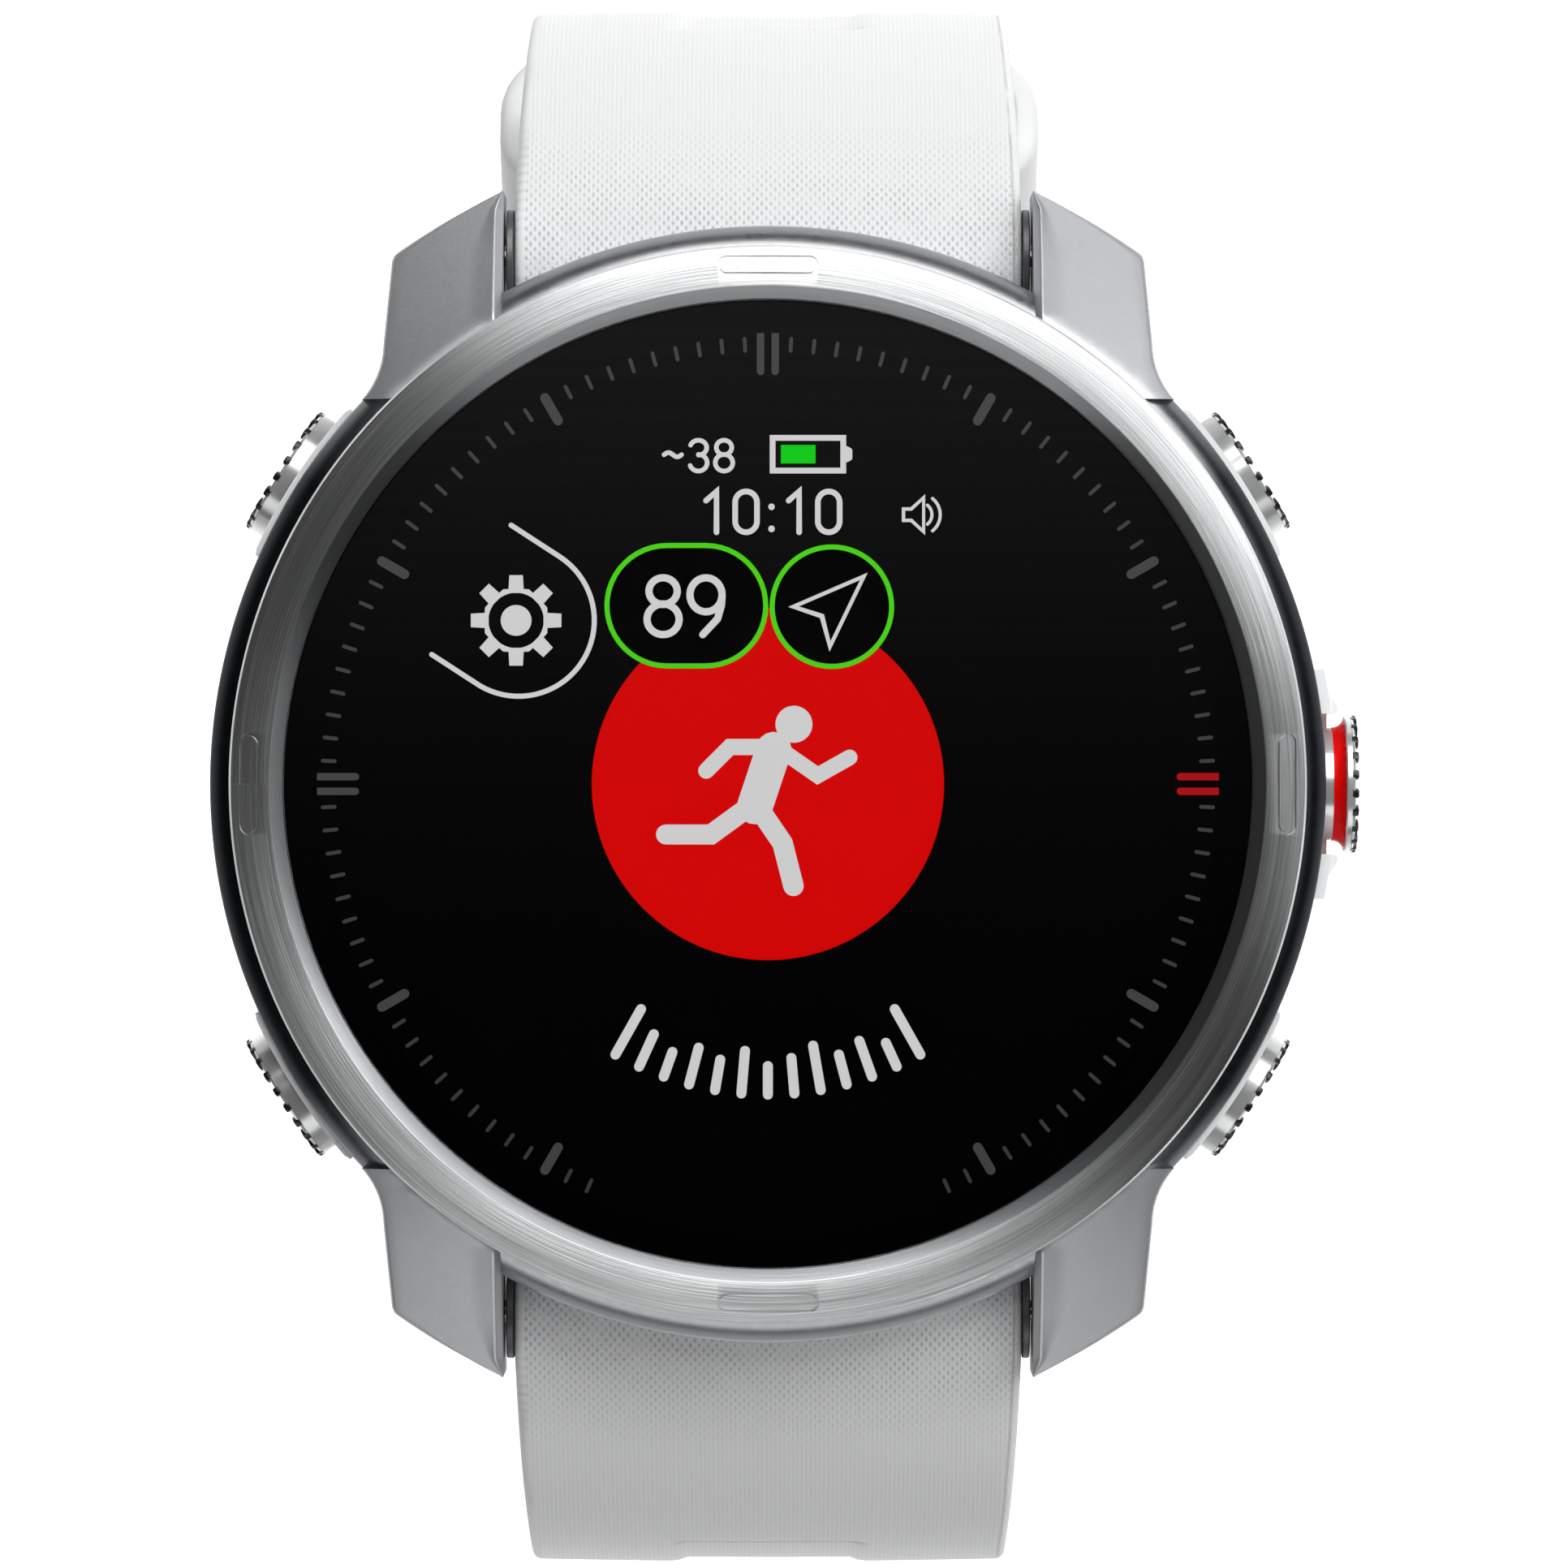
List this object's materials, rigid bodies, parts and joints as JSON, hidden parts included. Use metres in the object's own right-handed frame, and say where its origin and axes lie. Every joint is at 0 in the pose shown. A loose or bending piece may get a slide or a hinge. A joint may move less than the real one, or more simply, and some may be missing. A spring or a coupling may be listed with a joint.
{
  "type": "gps running watch",
  "caption": "Round sports watch with corner push buttons, a brushed bezel and a quick-release silicone strap with pin buckle, unbuckled.",
  "frame": {"origin": "middle of the flat sensor window on the back of the case, the face that rests on the wrist", "axes": "+Z out of the display, +Y towards 12 o'clock, +X towards 3 o'clock"},
  "size_m": [0.0483, 0.0688, 0.1007],
  "materials": {
    "silicone_white": "matte white silicone moulded with a fine woven texture",
    "body_white": "satin white fibre-reinforced polymer",
    "lug_metal": "bead-blasted grey metal",
    "bezel_steel": "concentric brushed steel",
    "button_steel": "turned and polished steel",
    "red_trim": "red anodised ring",
    "cover_glass": "clear cover glass",
    "display": "black display module",
    "back_metal": "satin grey back cover",
    "sensor_glass": "dark polished sensor window",
    "screw_steel": "small machine screws",
    "contact_gold": "gold-plated contacts",
    "buckle_steel": "satin steel",
    "bar_steel": "bright drawn steel",
    "seal_rubber": "black sealing rubber",
    "circuit_board": "glass-fibre board",
    "flex_film": "polyimide film with copper",
    "inner_metal": "plain aluminium",
    "weight_metal": "dense sintered weight"
  },
  "bodies": {
    "case": {"case_body": "body_white", "lug_frame": "lug_metal", "bezel": "bezel_steel", "cover_glass": "cover_glass", "display_panel": "display", "back_cover": "back_metal", "sensor_window": "sensor_glass", "display_gasket": "seal_rubber", "chassis": "inner_metal", "main_board": "circuit_board", "shield_can": "inner_metal", "battery": "inner_metal", "gps_antenna": "flex_film", "flex_right": "flex_film", "flex_left": "flex_film", "button_switches": "contact_gold", "button_bushes": "bar_steel", "motor_can": "inner_metal", "case_gasket": "seal_rubber", "sensor_board": "circuit_board", "charge_contacts": "contact_gold", "cover_screws": "screw_steel", "spring_start": "bar_steel", "spring_light": "bar_steel", "spring_up": "bar_steel", "spring_down": "bar_steel", "spring_back": "bar_steel"},
    "button_start": {"cap_start": "button_steel", "seals_start": "seal_rubber", "clip_start": "bar_steel", "start_ring": "red_trim"},
    "button_light": {"cap_light": "button_steel", "seals_light": "seal_rubber", "clip_light": "bar_steel"},
    "button_up": {"cap_up": "button_steel", "seals_up": "seal_rubber", "clip_up": "bar_steel"},
    "button_down": {"cap_down": "button_steel", "seals_down": "seal_rubber", "clip_down": "bar_steel"},
    "button_back": {"cap_back": "button_steel", "seals_back": "seal_rubber", "clip_back": "bar_steel"},
    "rotor": {"motor_weight": "weight_metal"},
    "strap_top": {"strap_buckle_half": "silicone_white", "spring_bar_top": "bar_steel", "fixed_keeper": "silicone_white"},
    "strap_bottom": {"strap_tail_half": "silicone_white", "spring_bar_bottom": "bar_steel"},
    "release_top": {"release_pin_top": "bar_steel"},
    "release_bottom": {"release_pin_bottom": "bar_steel"},
    "keeper": {"free_keeper": "silicone_white"},
    "buckle": {"buckle_frame": "buckle_steel", "buckle_bar": "buckle_steel"},
    "tongue": {"buckle_tongue": "buckle_steel"}
  },
  "joints": [
    {"name": "press_start", "type": "slide", "parent": "case", "child": "button_start", "axis": [-1, 0, 0], "range_m": [0, 0.0006], "stiffness_N_per_m": 2000, "deforming": ["spring_start"]},
    {"name": "press_light", "type": "slide", "parent": "case", "child": "button_light", "axis": [-0.8387, -0.5446, 0], "range_m": [0, 0.0006], "stiffness_N_per_m": 2000, "deforming": ["spring_light"]},
    {"name": "press_up", "type": "slide", "parent": "case", "child": "button_up", "axis": [0.8387, -0.5446, 0], "range_m": [0, 0.0006], "stiffness_N_per_m": 2000, "deforming": ["spring_up"]},
    {"name": "press_down", "type": "slide", "parent": "case", "child": "button_down", "axis": [0.8387, 0.5446, 0], "range_m": [0, 0.0006], "stiffness_N_per_m": 2000, "deforming": ["spring_down"]},
    {"name": "press_back", "type": "slide", "parent": "case", "child": "button_back", "axis": [-0.8387, 0.5446, 0], "range_m": [0, 0.0006], "stiffness_N_per_m": 2000, "deforming": ["spring_back"]},
    {"name": "rotor_spin", "type": "hinge", "parent": "case", "child": "rotor", "pos_m": [0, -0.0133, 0.0038], "axis": [0, 0, 1], "continuous": true},
    {"name": "strap_top_swing", "type": "hinge", "parent": "case", "child": "strap_top", "pos_m": [0, 0.0226, 0.0042], "axis": [1, 0, 0], "range_deg": [-8, 55]},
    {"name": "strap_bottom_swing", "type": "hinge", "parent": "case", "child": "strap_bottom", "pos_m": [0, -0.0226, 0.0042], "axis": [-1, 0, 0], "range_deg": [-8, 55]},
    {"name": "release_top_slide", "type": "slide", "parent": "strap_top", "child": "release_top", "axis": [-1, 0, 0], "range_m": [0, 0.0013], "stiffness_N_per_m": 1500},
    {"name": "release_bottom_slide", "type": "slide", "parent": "strap_bottom", "child": "release_bottom", "axis": [-1, 0, 0], "range_m": [0, 0.0013], "stiffness_N_per_m": 1500},
    {"name": "keeper_slide", "type": "hinge", "parent": "strap_top", "child": "keeper", "pos_m": [0, 0.0028, -0.00796], "axis": [1, 0, 0], "range_deg": [-14, 20]},
    {"name": "buckle_swing", "type": "hinge", "parent": "strap_top", "child": "buckle", "pos_m": [0, 0.003, -0.03802], "axis": [1, 0, 0], "range_deg": [-20, 40]},
    {"name": "tongue_swing", "type": "hinge", "parent": "buckle", "child": "tongue", "pos_m": [0, 0.003, -0.03802], "axis": [1, 0, 0], "range_deg": [0, 80]}
  ]
}
